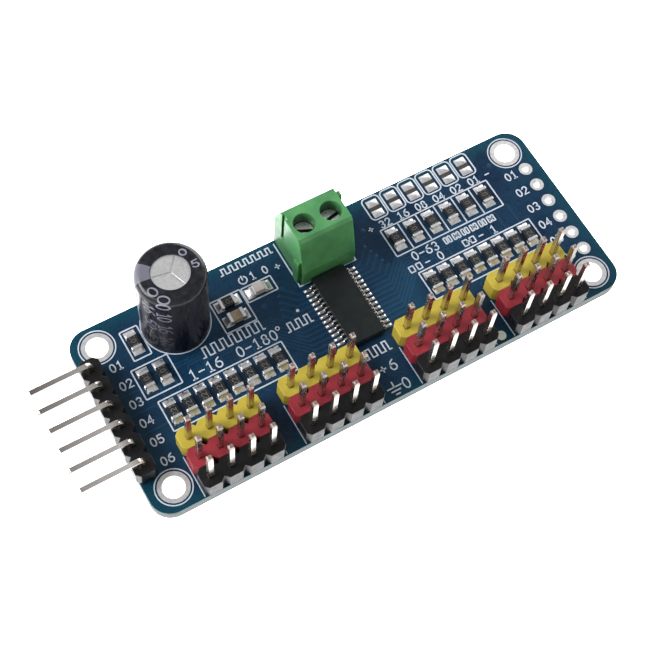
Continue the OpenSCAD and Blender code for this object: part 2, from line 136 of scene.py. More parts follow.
class Finish:
    """A Principled material, built node by node on object coordinates."""

    def __init__(self, name, metallic=0.0, rough=0.4, ior=1.5, gloss=0.5):
        self.material = bpy.data.materials.new(name)
        self.material.use_nodes = True
        self.tree = self.material.node_tree
        self.shader = self.tree.nodes["Principled BSDF"]
        self.shader.inputs["Metallic"].default_value = metallic
        self.shader.inputs["Roughness"].default_value = rough
        self.shader.inputs["IOR"].default_value = ior
        self.shader.inputs["Specular IOR Level"].default_value = gloss
        self.place = self.tree.nodes.new("ShaderNodeTexCoord").outputs["Object"]

    def node(self, kind, **values):
        n = self.tree.nodes.new("ShaderNode" + kind)
        for key, value in values.items():
            setattr(n, key, value)
        return n

    def link(self, out, into):
        self.tree.links.new(out, into)

    def stretch(self, scale, turn=(0, 0, 0)):
        m = self.node("Mapping")
        m.inputs["Scale"].default_value = scale
        m.inputs["Rotation"].default_value = turn
        self.link(self.place, m.inputs["Vector"])
        return m.outputs["Vector"]

    def noise(self, size_mm, detail=3.0, rough=0.55, vector=None):
        n = self.node("TexNoise")
        n.inputs["Scale"].default_value = 1 / (size_mm * MM)
        n.inputs["Detail"].default_value = detail
        n.inputs["Roughness"].default_value = rough
        self.link(vector or self.place, n.inputs["Vector"])
        return n.outputs["Fac"]

    def axis(self, name):
        s = self.node("SeparateXYZ")
        self.link(self.place, s.inputs["Vector"])
        return s.outputs[name]

    def facing(self, name):
        g = self.node("NewGeometry")
        s = self.node("SeparateXYZ")
        self.link(g.outputs["Normal"], s.inputs["Vector"])
        return s.outputs[name]

    def math(self, operation, a, b=0.0):
        n = self.node("Math", operation=operation)
        for socket, value in zip(n.inputs, (a, b)):
            if isinstance(value, (int, float)):
                socket.default_value = value
            else:
                self.link(value, socket)
        return n.outputs[0]

    def span(self, value, low, high, to_low=0.0, to_high=1.0):
        n = self.node("MapRange")
        for key, v in (("From Min", low), ("From Max", high), ("To Min", to_low), ("To Max", to_high)):
            n.inputs[key].default_value = v
        self.link(value, n.inputs["Value"])
        return n.outputs["Result"]

    def mix(self, factor, a, b):
        n = self.node("Mix", data_type="RGBA")
        self.link(factor, n.inputs["Factor"])
        for socket, value in ((n.inputs[6], a), (n.inputs[7], b)):
            if isinstance(value, tuple):
                socket.default_value = (*value, 1.0)
            else:
                self.link(value, socket)
        return n.outputs[2]

    def colour(self, value):
        if isinstance(value, tuple):
            self.shader.inputs["Base Color"].default_value = (*value, 1.0)
        else:
            self.link(value, self.shader.inputs["Base Color"])

    def rough(self, value):
        self.link(value, self.shader.inputs["Roughness"])

    def bump(self, height, depth_mm):
        n = self.node("Bump")
        n.inputs["Distance"].default_value = depth_mm * MM
        self.link(height, n.inputs["Height"])
        self.link(n.outputs["Normal"], self.shader.inputs["Normal"])


def moulded(name, dark, light, rough, sheen_mm=0.6, grain_mm=0.12, grain=0.004, gloss=0.4):
    """Moulded plastic: flow variation in colour, fine grain in the surface."""
    f = Finish(name, rough=rough, gloss=gloss)
    flow = f.span(f.noise(sheen_mm * 4, 2.0), 0.35, 0.65)
    speck = f.span(f.noise(grain_mm, 2.0), 0.4, 0.75)
    f.colour(f.mix(f.math("MULTIPLY", f.math("ADD", flow, speck), 0.5), dark, light))
    f.rough(f.span(f.noise(sheen_mm, 3.0), 0.3, 0.7, rough - 0.07, rough + 0.09))
    f.bump(f.noise(grain_mm, 1.0), grain)
    return f.material


def metal(name, dark, light, rough, streak=(1, 1, 1), wave_mm=0.4, wave=0.003, fine_mm=0.12):
    """Metal with soft dents, fine streaks and uneven polish."""
    f = Finish(name, metallic=1.0, rough=rough)
    v = f.stretch(streak)
    tone = f.span(f.noise(fine_mm * 3, 3.0, vector=v), 0.3, 0.7)
    f.colour(f.mix(tone, dark, light))
    f.rough(f.span(f.noise(fine_mm, 2.0, vector=v), 0.25, 0.75, rough - 0.05, rough + 0.07))
    f.bump(f.noise(wave_mm, 1.0), wave)
    return f.material


def solder_mask(name, deep, pale, glare_tint, core=True):
    """Glossy lacquer over copper, with a painted reflection that makes it paler and greener near the
    board's edges and at its side header's end.
    """
    f = Finish(name, rough=0.3, gloss=0.17)
    cloud = f.span(f.noise(5.0, 3.0), 0.3, 0.7)
    weave = f.span(f.noise(0.35, 2.0), 0.3, 0.7)
    tone = f.mix(cloud, deep, pale)
    tone = f.mix(f.math("MULTIPLY", weave, 0.1), tone, pale)
    # painted reflection: paler, greener lacquer near the edges and at the side header's end
    x_gap = f.math("SUBTRACT", BOARD_HIGH.x * MM, f.math("ABSOLUTE", f.axis("X")))
    y_gap = f.math("SUBTRACT", BOARD_HIGH.y * MM, f.math("ABSOLUTE", f.axis("Y")))
    gap = f.math("MINIMUM", x_gap, y_gap)
    edge_glare = f.span(gap, EDGE_GLARE_SPAN[0] * MM, EDGE_GLARE_SPAN[1] * MM, 0.75, 0.0)
    ends = [(BOARD_LOW.x + d) * MM for d in END_GLARE_SPAN]
    end_glare = f.span(f.axis("X"), *ends, 0.8, 0.0)
    tone = f.mix(f.math("MAXIMUM", edge_glare, end_glare), tone, glare_tint)
    # the sawn edge shows the pale glass-epoxy core
    fibre = f.mix(f.noise(0.12, 2.0), (0.075, 0.092, 0.094), (0.132, 0.152, 0.154))
    side = f.span(f.math("ABSOLUTE", f.facing("Z")), 0.4, 0.6, 1.0 if core else 0.0, 0.0)
    f.colour(f.mix(side, tone, fibre))
    polish = f.span(f.noise(0.8, 3.0), 0.3, 0.7, 0.22, 0.36)
    f.rough(f.math("ADD", polish, f.math("MULTIPLY", side, 0.35)))
    f.bump(f.noise(0.6, 2.0), 0.006)
    return f.material


def terminal_plastic(name, dark, light):
    """Slightly translucent plastic, with painted shade darkening it down in the screw wells and low on its
    ends.
    """
    f = Finish(name, rough=0.38, gloss=0.4)
    flow = f.mix(f.span(f.noise(2.4, 2.0), 0.3, 0.7), dark, light)
    # painted shade: the screw wells' walls darken deeper down, and the end faces darken low down
    across = f.math("ABSOLUTE", f.math("SUBTRACT", f.axis("X"), WELLS_MID_X * MM))
    dx = f.math("SUBTRACT", across, WELL_OFF_X * MM)
    dy = f.math("SUBTRACT", f.axis("Y"), WELL_Y * MM)
    r = f.math("SQRT", f.math("ADD", f.math("MULTIPLY", dx, dx), f.math("MULTIPLY", dy, dy)))
    inside = f.span(r, (WELL_R + 0.01) * MM, (WELL_R + 0.04) * MM, 1.0, 0.0)
    depth = f.span(f.axis("Z"), (WELL_TOP - 1.4) * MM, WELL_TOP * MM, 0.75, 0.15)
    end_face = f.span(f.math("ABSOLUTE", f.facing("X")), 0.6, 0.85)
    low = f.span(f.axis("Z"), (TOP + 2.6) * MM, (TOP + 5.2) * MM, 0.55, 0.0)
    painted_shade = f.math("MAXIMUM", f.math("MULTIPLY", inside, depth), f.math("MULTIPLY", end_face, low))
    # the dark green mixed in here is the painted shade
    f.colour(f.mix(painted_shade, flow, (0.004, 0.035, 0.010)))
    f.rough(f.span(f.noise(0.6, 3.0), 0.3, 0.7, 0.31, 0.47))
    f.bump(f.noise(0.12, 1.0), 0.003)
    f.shader.inputs["Subsurface Weight"].default_value = 0.25
    f.shader.inputs["Subsurface Radius"].default_value = (0.3, 1.0, 0.35)
    f.shader.inputs["Subsurface Scale"].default_value = 0.8 * MM
    return f.material


def shrink_film(name, dark, light):
    """Film with faint streaks that run down it, their lighter bluish colour painted reflection, glossier
    where it is pulled over the lip.
    """
    f = Finish(name, rough=0.25)
    f.link(f.span(f.facing("Z"), 0.1, 0.8, 0.15, 0.34), f.shader.inputs["Specular IOR Level"])
    # the streaks run in the film's roughness; their lighter bluish colour is painted reflection
    streak = f.span(f.noise(0.9, 2.0, vector=f.stretch((1, 1, 0.06))), 0.35, 0.65)
    f.colour(f.mix(streak, dark, light))
    f.rough(f.span(streak, 0.0, 1.0, 0.20, 0.33))
    f.bump(f.noise(2.5, 1.0), 0.012)
    return f.material


def pin_plating(name, dark, light, cut):
    """Tinned brass pins; cut ends are duller, and the side pins past the board's edge get painted shade
    towards their free ends and on rows towards +Y.
    """
    f = Finish(name, metallic=1.0, rough=0.22)
    tone = f.mix(f.span(f.noise(2.7, 3.0), 0.3, 0.7), dark, light)
    # painted shade on the side pins past the board's edge: darker towards their free ends and on rows
    # towards +Y
    root = f.span(f.axis("X"), BENT_TIP * MM, BOARD_LOW.x * MM, 0.0, 0.6)
    row = f.span(f.axis("Y"), -2.5 * PITCH * MM, 2.5 * PITCH * MM, 0.4, 0.0)
    side_pin_shade = f.mix(f.math("ADD", root, row), (0.22, 0.20, 0.185), (0.92, 0.87, 0.83))
    tone = f.mix(f.span(f.axis("X"), (BOARD_LOW.x - 0.3) * MM, (BOARD_LOW.x + 0.7) * MM), side_pin_shade, tone)
    end = f.span(f.axis("Z"), (PIN_TOP - CUT_END) * MM, (PIN_TOP - 0.25) * MM)
    f.colour(f.mix(end, tone, cut))
    f.rough(f.math("ADD", f.span(f.noise(0.9, 2.0), 0.25, 0.75, 0.17, 0.29), f.math("MULTIPLY", end, 0.2)))
    return f.material


def screw_steel(name, dark, light):
    """Plated screw head with painted shade that darkens its driver slot down towards the floor."""
    f = Finish(name, metallic=1.0, rough=0.3)
    tone = f.mix(f.span(f.noise(0.5, 3.0, vector=f.stretch((3, 0.4, 1))), 0.3, 0.7), dark, light)
    # painted shade: near black down in the slot
    height = f.span(f.axis("Z"), (SCREW_TOP - SLOT_DEPTH) * MM, (SCREW_TOP - 0.05) * MM)
    f.colour(f.mix(height, (0.06, 0.06, 0.06), tone))
    f.rough(f.span(f.noise(0.2, 2.0), 0.3, 0.7, 0.24, 0.36))
    return f.material


def shaded_ink(name, faint, strong):
    """Print with painted light and shade: strongest at the top of the capacitor, fading towards its foot.
    """
    f = Finish(name, rough=0.45, gloss=0.2)
    patch = f.span(f.noise(0.5, 2.0), 0.3, 0.7, -0.12, 0.12)
    # painted shade: the print darkens lower down the sleeve's side
    height = f.span(f.axis("Z"), (TOP + 1.4) * MM, (TOP + 12.9) * MM)
    f.colour(f.mix(f.math("ADD", height, patch), faint, strong))
    return f.material


MASK_DEEP = (0.0015, 0.013, 0.036)
MASK_PALE = (0.0065, 0.034, 0.072)
# the last tint is the colour of the painted reflection near the board's edges
MASK_GLARE = (0.0015, 0.041, 0.063)

FINISHES = {
    "solder_mask": solder_mask("solder_mask", MASK_DEEP, MASK_PALE, MASK_GLARE),
    "tinned_copper": metal("tinned_copper", (0.52, 0.51, 0.51), (0.68, 0.67, 0.67), 0.42,
                           wave_mm=0.7, wave=0.006),
    "yellow_plastic": moulded("yellow_plastic", (0.33, 0.255, 0.028), (0.43, 0.345, 0.045), 0.42,
                              gloss=0.25),
    "red_plastic": moulded("red_plastic", (0.19, 0.012, 0.020), (0.28, 0.022, 0.034), 0.42, gloss=0.3),
    "black_plastic": moulded("black_plastic", (0.004, 0.004, 0.005), (0.010, 0.010, 0.011), 0.34,
                             gloss=0.19),
    "pin_metal": pin_plating("pin_metal", (0.50, 0.455, 0.405), (0.57, 0.525, 0.475),
                             (0.30, 0.245, 0.225)),
    "solder": metal("solder", (0.54, 0.54, 0.55), (0.72, 0.72, 0.73), 0.38, wave_mm=0.4, wave=0.010),
    "green_plastic": terminal_plastic("green_plastic", (0.042, 0.170, 0.058), (0.070, 0.245, 0.084)),
    "plated_steel": metal("plated_steel", (0.78, 0.78, 0.77), (0.96, 0.96, 0.95), 0.30, (3, 0.4, 1),
                          wave_mm=2.0, wave=0.001),
    "can_aluminium": metal("can_aluminium", (0.56, 0.56, 0.56), (0.68, 0.68, 0.67), 0.4,
                           wave_mm=1.2, wave=0.012),
    "sleeve_film": shrink_film("sleeve_film", (0.0035, 0.0035, 0.005), (0.010, 0.011, 0.016)),
    "bung_rubber": moulded("bung_rubber", (0.02, 0.02, 0.02), (0.04, 0.04, 0.04), 0.7),
    "winding_paper": moulded("winding_paper", (0.5, 0.44, 0.3), (0.7, 0.64, 0.5), 0.8),
    "chip_epoxy": moulded("chip_epoxy", (0.005, 0.008, 0.008), (0.011, 0.014, 0.014), 0.5,
                          grain_mm=0.07, grain=0.003, gloss=0.14),
    "resistor_body": moulded("resistor_body", (0.007, 0.007, 0.008), (0.019, 0.019, 0.020), 0.34,
                             sheen_mm=0.3, gloss=0.3),
    "capacitor_ceramic": moulded("capacitor_ceramic", (0.18, 0.130, 0.085), (0.32, 0.245, 0.17), 0.42,
                                 sheen_mm=0.2),
    "led_white": moulded("led_white", (0.36, 0.33, 0.32), (0.50, 0.47, 0.46), 0.4),
    "led_resin": moulded("led_resin", (0.40, 0.35, 0.33), (0.52, 0.47, 0.45), 0.25),
}
SCREW_FINISH = screw_steel("screw_steel", (0.78, 0.78, 0.77), (0.97, 0.97, 0.96))
SILK = moulded("legend_ink", (0.38, 0.42, 0.48), (0.55, 0.59, 0.66), 0.62,
               sheen_mm=0.4, grain_mm=0.1, grain=0.012)
SLEEVE_INK = moulded("sleeve_ink", (0.085, 0.085, 0.110), (0.125, 0.125, 0.160), 0.45, sheen_mm=0.9)
SLEEVE_DARK_INK = moulded("sleeve_dark_ink", (0.02, 0.02, 0.03), (0.04, 0.04, 0.05), 0.4)
NUMERAL_INK = shaded_ink("numeral_ink", (0.020, 0.021, 0.030), (0.20, 0.20, 0.25))
DIGIT_INK = moulded("digit_ink", (0.08, 0.08, 0.08), (0.15, 0.15, 0.15), 0.55)
GAP_LAMINATE = moulded("bare_laminate", (0.018, 0.014, 0.012), (0.045, 0.036, 0.030), 0.6)
SPOT_LAMINATE = moulded("spot_laminate", (0.62, 0.70, 0.56), (0.76, 0.83, 0.69), 0.5)
COPPER_UNDER_MASK = solder_mask("mask_over_copper", (0.005, 0.027, 0.060), (0.010, 0.045, 0.092),
                                MASK_GLARE, core=False)


def dress_frame():
    """Gives each CAD node the finish of its material slot; the screws get their own steel."""
    for part in frame["record"]["subparts"]:
        node = NODES[part["node"]]
        screw = part["node"].startswith("terminal_screw")
        node.data.materials.clear()
        node.data.materials.append(SCREW_FINISH if screw else FINISHES[part["material_slot"]])


# Nodes whose real edges are rounded: edge radius in millimetres
EDGE_RADIUS = {"strip": 0.07, "terminal_housing": 0.12, "chip_body": 0.05, "_caps": 0.05,
               "resistors": 0.03, "ceramic_capacitor": 0.06, "power_led": 0.04, "pins": 0.05,
               "terminal_screw": 0.06, "chip_leads": 0.02, "circuit_board": 0.03}


def round_edges():
    for name, obj in NODES.items():
        radius = next((r for key, r in EDGE_RADIUS.items() if key in name), None)
        if radius is None:
            continue
        weld = obj.modifiers.new("weld", "WELD")
        weld.merge_threshold = 1e-6
        bevel = obj.modifiers.new("edges", "BEVEL")
        bevel.width = radius * MM
        bevel.segments = 2
        bevel.limit_method = "ANGLE"
        bevel.angle_limit = math.radians(38)
        bevel.harden_normals = False


# ------------------------------------------------------------------ mesh helpers


def piece(name, bm, material, body="board", smooth=None):
    """Turns a bmesh in millimetres into a piece that rides on a body."""
    bmesh.ops.recalc_face_normals(bm, faces=bm.faces)
    bmesh.ops.scale(bm, vec=(MM, MM, MM), verts=bm.verts)
    mesh = bpy.data.meshes.new(name)
    bm.to_mesh(mesh)
    bm.free()
    obj = bpy.data.objects.new(name, mesh)
    bpy.context.scene.collection.objects.link(obj)
    mesh.materials.append(material)
    if smooth is not None:
        mesh.shade_smooth()
        mesh.set_sharp_from_angle(angle=math.radians(smooth))
    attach(obj, body)
    return obj


def arc(cx, cy, r, start, end, steps=8, ry=None):
    """Points along an arc, in degrees from +X, with both ends."""
    ry = r if ry is None else ry
    angles = [math.radians(start + (end - start) * k / steps) for k in range(steps + 1)]
    return [(cx + r * math.cos(a), cy + ry * math.sin(a)) for a in angles]


def flat_place(x, y, z):
    return (x, y, z)


def ribbon(bm, points, width, z0, z1, closed=False, place=flat_place):
    """Flat strip with mitred corners along points; an open strip gets round ends."""
    pts = [Vector(p) for p in points]
    halves = [width / 2] * len(pts)
    if not closed:
        first = (pts[0] - pts[1]).normalized()
        last = (pts[-1] - pts[-2]).normalized()
        cap = [(math.sin(math.radians(a)), math.cos(math.radians(a))) for a in (35, 65, 85)]
        head = [(pts[0] + first * s * width / 2, c * width / 2) for s, c in reversed(cap)]
        tail = [(pts[-1] + last * s * width / 2, c * width / 2) for s, c in cap]
        pts = [p for p, _ in head] + pts + [p for p, _ in tail]
        halves = [h for _, h in head] + halves + [h for _, h in tail]
    n = len(pts)
    rings = []
    for i, (p, h) in enumerate(zip(pts, halves)):
        before = pts[(i - 1) % n] if closed or i else None
        after = pts[(i + 1) % n] if closed or i < n - 1 else None
        d0 = (p - before).normalized() if before is not None else (after - p).normalized()
        d1 = (after - p).normalized() if after is not None else d0
        across = Vector((-(d0.y + d1.y), d0.x + d1.x))
        if across.length < 1e-6:
            across = Vector((-d0.y, d0.x))
        across.normalize()
        cosine = max(0.5, across.dot(Vector((-d0.y, d0.x))))
        off = across * (h / cosine)
        left, right = p + off, p - off
        rings.append([bm.verts.new(place(q.x, q.y, z)) for q, z in
                      ((left, z0), (right, z0), (right, z1), (left, z1))])
    for i in range(n if closed else n - 1):
        a, b = rings[i], rings[(i + 1) % n]
        for k in range(4):
            m = (k + 1) % 4
            bm.faces.new((a[k], a[m], b[m], b[k]))
    if not closed:
        bm.faces.new(rings[0])
        bm.faces.new(list(reversed(rings[-1])))


def plate(bm, outline, z0, z1, place=flat_place):
    """Prism with the given outline."""
    low = [bm.verts.new(place(x, y, z0)) for x, y in outline]
    high = [bm.verts.new(place(x, y, z1)) for x, y in outline]
    bm.faces.new(list(reversed(low)))
    bm.faces.new(high)
    n = len(outline)
    for i in range(n):
        j = (i + 1) % n
        bm.faces.new((low[i], low[j], high[j], high[i]))


def rounded(x0, y0, x1, y1, r):
    """Outline of a rectangle with round corners."""
    out = []
    corners = ((x1 - r, y1 - r), (x0 + r, y1 - r), (x0 + r, y0 + r), (x1 - r, y0 + r))
    for k, (cx, cy) in enumerate(corners):
        out += arc(cx, cy, r, 90 * k, 90 * (k + 1), 4)
    return out


# ------------------------------------------------------------------ numerals and symbols

FIELD_W = 4
FIELD_H = 6
# Strokes of the numerals on a field of that size: (closed, points)
NUMERALS = {
    "0": [(True, arc(2, 3, 1.7, 0, 345, 15, 3))],
    "1": [(False, [(0.8, 4.8), (2.1, 6), (2.1, 0)]), (False, [(0.9, 0), (3.3, 0)])],
    "2": [(False, arc(2, 4.3, 1.7, 165, -20, 8) + [(0.3, 0), (3.8, 0)])],
    "3": [(False, arc(1.9, 4.5, 1.5, 150, -90, 9) + arc(1.9, 1.5, 1.6, 90, -150, 9)[1:])],
    "4": [(False, [(3, 0), (3, 6), (0.2, 1.8), (3.9, 1.8)])],
    "5": [(False, [(3.5, 6), (0.7, 6), (0.5, 3.4)] + arc(1.9, 1.9, 1.8, 115, -150, 10))],
    "6": [(False, [(3.2, 6), (1.4, 5)] + arc(2, 1.9, 1.8, 165, 495, 14))],
    "7": [(False, [(0.3, 6), (3.8, 6), (1.5, 0)])],
    "8": [(True, arc(2, 4.5, 1.4, 0, 330, 11)), (True, arc(2, 1.6, 1.7, 0, 330, 11))],
    "9": [(False, [(0.8, 0), (2.6, 1)] + arc(2, 4.1, 1.8, -15, 315, 14))],
    "+": [(False, [(0.4, 3), (3.6, 3)]), (False, [(2, 1.4), (2, 4.6)])],
    "-": [(False, [(0.4, 3), (3.6, 3)])],
    " ": [],
}


def number(bm, text, x, y, height, width=SILK_W, turn=0.0, z0=TOP, z1=TOP + SILK_Z,
           place=flat_place, step=5.2):
    """Numerals centred on (x, y); step is their spacing on the numerals' own field."""
    k = height / FIELD_H
    c, s = math.cos(math.radians(turn)), math.sin(math.radians(turn))
    start = -(len(text) * step - (step - FIELD_W)) / 2
    for i, sign in enumerate(text):
        for closed, points in NUMERALS[sign]:
            moved = []
            for px, py in points:
                u = (start + i * step + px) * k
                v = (py - FIELD_H / 2) * k
                moved.append((x + u * c - v * s, y + u * s + v * c))
            ribbon(bm, moved, width, z0, z1, closed, place)


def pulses(bm, x0, x1, y, height, count, width=SILK_W):
    """A train of square pulses."""
    step = (x1 - x0) / count
    points = [(x0, y - height / 2)]
    for i in range(count):
        x = x0 + i * step
        points += [(x + 0.3 * step, y - height / 2), (x + 0.3 * step, y + height / 2),
                   (x + 0.75 * step, y + height / 2), (x + 0.75 * step, y - height / 2)]
    points.append((x1, y - height / 2))
    ribbon(bm, points, width, TOP, TOP + SILK_Z)


def ground_sign(bm, x, y, size, width=SILK_W):
    """Earth sign: a stem over three shorter and shorter bars."""
    ribbon(bm, [(x, y + size * 0.55), (x, y + size * 0.1)], width, TOP, TOP + SILK_Z)
    for k, half in enumerate((0.6, 0.38, 0.16)):
        yy = y + size * (0.1 - 0.3 * k)
        ribbon(bm, [(x - size * half, yy), (x + size * half, yy)], width, TOP, TOP + SILK_Z)


def silk_line(bm, points, closed=False, width=SILK_W):
    ribbon(bm, points, width, TOP, TOP + SILK_Z, closed)


def silk_frame(bm, x0, y0, x1, y1, r=0.12):
    silk_line(bm, rounded(x0, y0, x1, y1, r), closed=True)


# ------------------------------------------------------------------ board artwork

CHIP_LOW, CHIP_HIGH = box_mm("driver_chip_body")
CAP_LOW, CAP_HIGH = box_mm("capacitor_sleeve")
CAP_MID = (CAP_LOW + CAP_HIGH) / 2
CAP_R = (CAP_HIGH.x - CAP_LOW.x) / 2
TERMINAL_HALF = SCREWS[1].x - SCREWS[0].x
TERMINAL_LOW, TERMINAL_HIGH = box_mm("terminal_housing")
HOLES = [middle(b) for b in solids("mounting_hole_rings")]
SPARE_PADS = [middle(b) for b in solids("spare_header_pads")]
SIDE_ROWS = sorted({round(middle(b).y, 3) for b in solids("side_header_pins")}, reverse=True)
SIDE_STRIP = box_mm("side_header_strip")
OUTPUTS = [[middle(b) for b in solids("output_resistors_" + side)] for side in ("left", "right")]
ADDRESS = [middle(b) for b in solids("address_resistors")]
SINGLES = [middle(b) for b in solids("single_resistors")]
JUMPERS = [middle(b) for b in solids("address_jumper_pads")]
CERAMIC = middle(box_mm("ceramic_capacitor"))
LED = middle(box_mm("power_led_base"))
SERVO_BLOCKS = [box_mm("servo_%d_ground_strip" % k) for k in (1, 2, 3, 4)]
SERVO_TOPS = [box_mm("servo_%d_signal_strip" % k) for k in (1, 2, 3, 4)]

BOX_UP = 1.85           # reach of a printed box above and below the middle of its upright resistors
BOX_DOWN = 2.15
PAD_TOP = OUTPUTS[0][0].y + 1.6
FIRST_LANE = OUTPUTS[0][0].y + 2.35     # lowest level run of the traces over the output resistors
LABEL_H = 1.0           # height of the pin numbers
ROUND = 40              # points on a full printed circle


def printed_boxes():
    """Outlines round the resistors, jumpers, headers, capacitor and terminal."""
    bm = bmesh.new()
    for row in OUTPUTS:
        silk_frame(bm, row[0].x - 1.05, row[0].y - BOX_DOWN, row[-1].x + 1.25, row[0].y + BOX_UP)
    half = PITCH / 2
    y = ADDRESS[0].y
    silk_frame(bm, ADDRESS[0].x - half + 0.15, y - BOX_DOWN, ADDRESS[-1].x + half + 0.15, y + BOX_UP)
    for a in ADDRESS[:-1]:
        x = a.x + half
        silk_line(bm, [(x, y - BOX_DOWN + SILK_W / 2), (x, y + BOX_UP - SILK_W / 2)])
    y_pads = sum(j.y for j in JUMPERS) / len(JUMPERS)
    for a in ADDRESS:
        silk_frame(bm, a.x - half + 0.13, y_pads - 1.5, a.x + half - 0.13, y_pads + 1.7, r=0.55)
    pair = sorted(sorted(SINGLES, key=lambda c: c.y)[:2], key=lambda c: c.x)
    lone = sorted(SINGLES, key=lambda c: c.y)[-1]
    led_resistor = max(SINGLES, key=lambda c: c.x)
    silk_frame(bm, pair[0].x - 1.1, pair[0].y - BOX_DOWN, pair[1].x + 1.4, pair[0].y + BOX_UP)
    silk_frame(bm, lone.x - 1.0, lone.y - BOX_DOWN, lone.x + 1.2, lone.y + BOX_UP)
    silk_frame(bm, CERAMIC.x - 1.95, CERAMIC.y - 1.3, CERAMIC.x + 2.0, led_resistor.y + 0.95)
    silk_frame(bm, LED.x - 1.8, LED.y - 1.0, LED.x + 2.1, LED.y + 1.0)
    for low, high in SERVO_BLOCKS:
        for x in (low.x - 0.04, high.x + 0.04):
            silk_line(bm, [(x, low.y + 0.2), (x, low.y + 2.1 * PITCH)], width=0.11)
    silk_line(bm, arc(CAP_MID.x, CAP_MID.y, CAP_R + 0.1, 107, 433, 44), width=0.12)
    for c in HOLES:
        silk_line(bm, arc(c.x, c.y, 2.12, 0, 352, ROUND), closed=True, width=0.14)
    x0, x1 = WELLS_MID_X - TERMINAL_HALF - 0.3, WELLS_MID_X + TERMINAL_HALF + 0.3
    y0, y1 = TERMINAL_LOW.y, BOARD_HIGH.y - 0.5
    silk_line(bm, [(x0, y1), (x0, y0), (x1, y0), (x1, y1)])
    plate(bm, arc(CHIP_LOW.x - 3.1, CHIP_HIGH.y - 2.35, 0.2, 0, 345, 15), TOP, TOP + SILK_Z)
    piece("legend_outlines", bm, SILK)


def pad_pair_sign(bm, x, y, joined, size=1.0):
    """Two small pads side by side, apart or bridged."""
    for k in (-1, 1):
        mid = x + k * 0.5 * size
        silk_frame(bm, mid - 0.3 * size, y - 0.4, mid + 0.3 * size, y + 0.4, r=0.05)
    if joined:
        silk_line(bm, [(x - 0.2 * size, y), (x + 0.2 * size, y)], width=0.3)


def power_sign(bm, x, y, r):
    silk_line(bm, arc(x, y, r, 125, 415, 16))
    silk_line(bm, [(x, y + 0.1 * r), (x, y + 1.15 * r)])


def pin_marks(bm):
    """Pin numbers beside the side header and the empty holes, and signs between the servo headers."""
    for x in (SIDE_STRIP[1].x + 1.6, SPARE_PADS[0].x - 2.2):
        for k, y in enumerate(SIDE_ROWS):
            number(bm, "0%d" % (k + 1), x, y, LABEL_H)
    gap = (SERVO_BLOCKS[1][1].x + SERVO_BLOCKS[2][0].x) / 2
    y_rows = [SERVO_BLOCKS[1][0].y + PITCH * (k + 0.5) for k in range(3)]
    ground_sign(bm, gap - 0.6, y_rows[0] - 0.1, 1.5)
    number(bm, "0", gap + 0.9, y_rows[0] - 0.1, 1.3)
    number(bm, "+", gap - 0.6, y_rows[1], 1.3)
    number(bm, "6", gap + 0.7, y_rows[1], 1.3)
    pulses(bm, gap - 1.6, gap + 1.7, y_rows[2] - 0.1, 1.2, 3)


def title_marks(bm):
    """Channel and angle ranges with pulse trains, between the capacitor and the output resistors."""
    title = CAP_MID.x + 4.7
    pulses(bm, title - 4.0, title + 4.0, 3.15, 1.25, 7)
    number(bm, "1-16", title - 4.4, 1.3, 1.25)
    number(bm, "0-180", title + 2.2, 1.3, 1.25)
    silk_line(bm, arc(title + 5.2, 1.85, 0.22, 0, 330, 11), closed=True, width=0.13)
    pulses(bm, title + 6.1, title + 9.4, 1.3, 1.1, 3)


def address_marks(bm):
    """Weight of each address jumper, the range of addresses, and what an open and a closed pair mean."""
    y = ADDRESS[0].y + BOX_UP + 0.68
    for k, a in enumerate(ADDRESS):
        number(bm, "%02d" % (1 << (len(ADDRESS) - 1 - k)), a.x, y, 0.95)
    number(bm, "+", ADDRESS[0].x - 2.0, y, 0.95)
    number(bm, "-", ADDRESS[-1].x + 2.0, y, 0.95)
    mid = (ADDRESS[0].x + ADDRESS[-1].x) / 2
    y = ADDRESS[0].y - BOX_DOWN - 0.9
    number(bm, "0-63", mid - 4.1, y, 1.1)
    for k in range(len(ADDRESS)):
        pad_pair_sign(bm, mid - 0.9 + 1.25 * k, y, k % 2 == 1, 0.55)
    y -= 1.4
    pad_pair_sign(bm, mid - 6.3, y, False)
    number(bm, "- 0", mid - 3.7, y, 1.05)
    pad_pair_sign(bm, mid + 1.3, y, True)
    number(bm, "- 1", mid + 3.9, y, 1.05)


def supply_marks(bm):
    """Signs beside the power light and the terminal."""
    power_sign(bm, LED.x - 1.0, LED.y + 1.95, 0.5)
    number(bm, "1 0", LED.x + 1.1, LED.y + 1.95, 0.95)
    pulses(bm, LED.x - 3.0, LED.x + 3.9, 11.3, 0.8, 7, width=0.16)
    number(bm, "+", TERMINAL_LOW.x - 0.9, SCREWS[0].y + 0.3, 1.1)
    number(bm, "-", TERMINAL_HIGH.x + 1.0, SCREWS[0].y + 0.3, 1.1)


def printed_marks():
    """Generic numerals and signs in the places where a board has its legend."""
    bm = bmesh.new()
    pin_marks(bm)
    title_marks(bm)
    address_marks(bm)
    supply_marks(bm)
    piece("legend_marks", bm, SILK)


# ------------------------------------------------------------------ solder


def end_caps(core_node, caps_node):
    """Each end cap's box with the direction away from its body."""
    cores = [middle(b) for b in solids(core_node)]
    found = []
    for b in solids(caps_node):
        c = middle(b)
        core = min(cores, key=lambda m: (m - c).length)
        found.append((b, Vector((c.x - core.x, c.y - core.y)).normalized()))
    return found


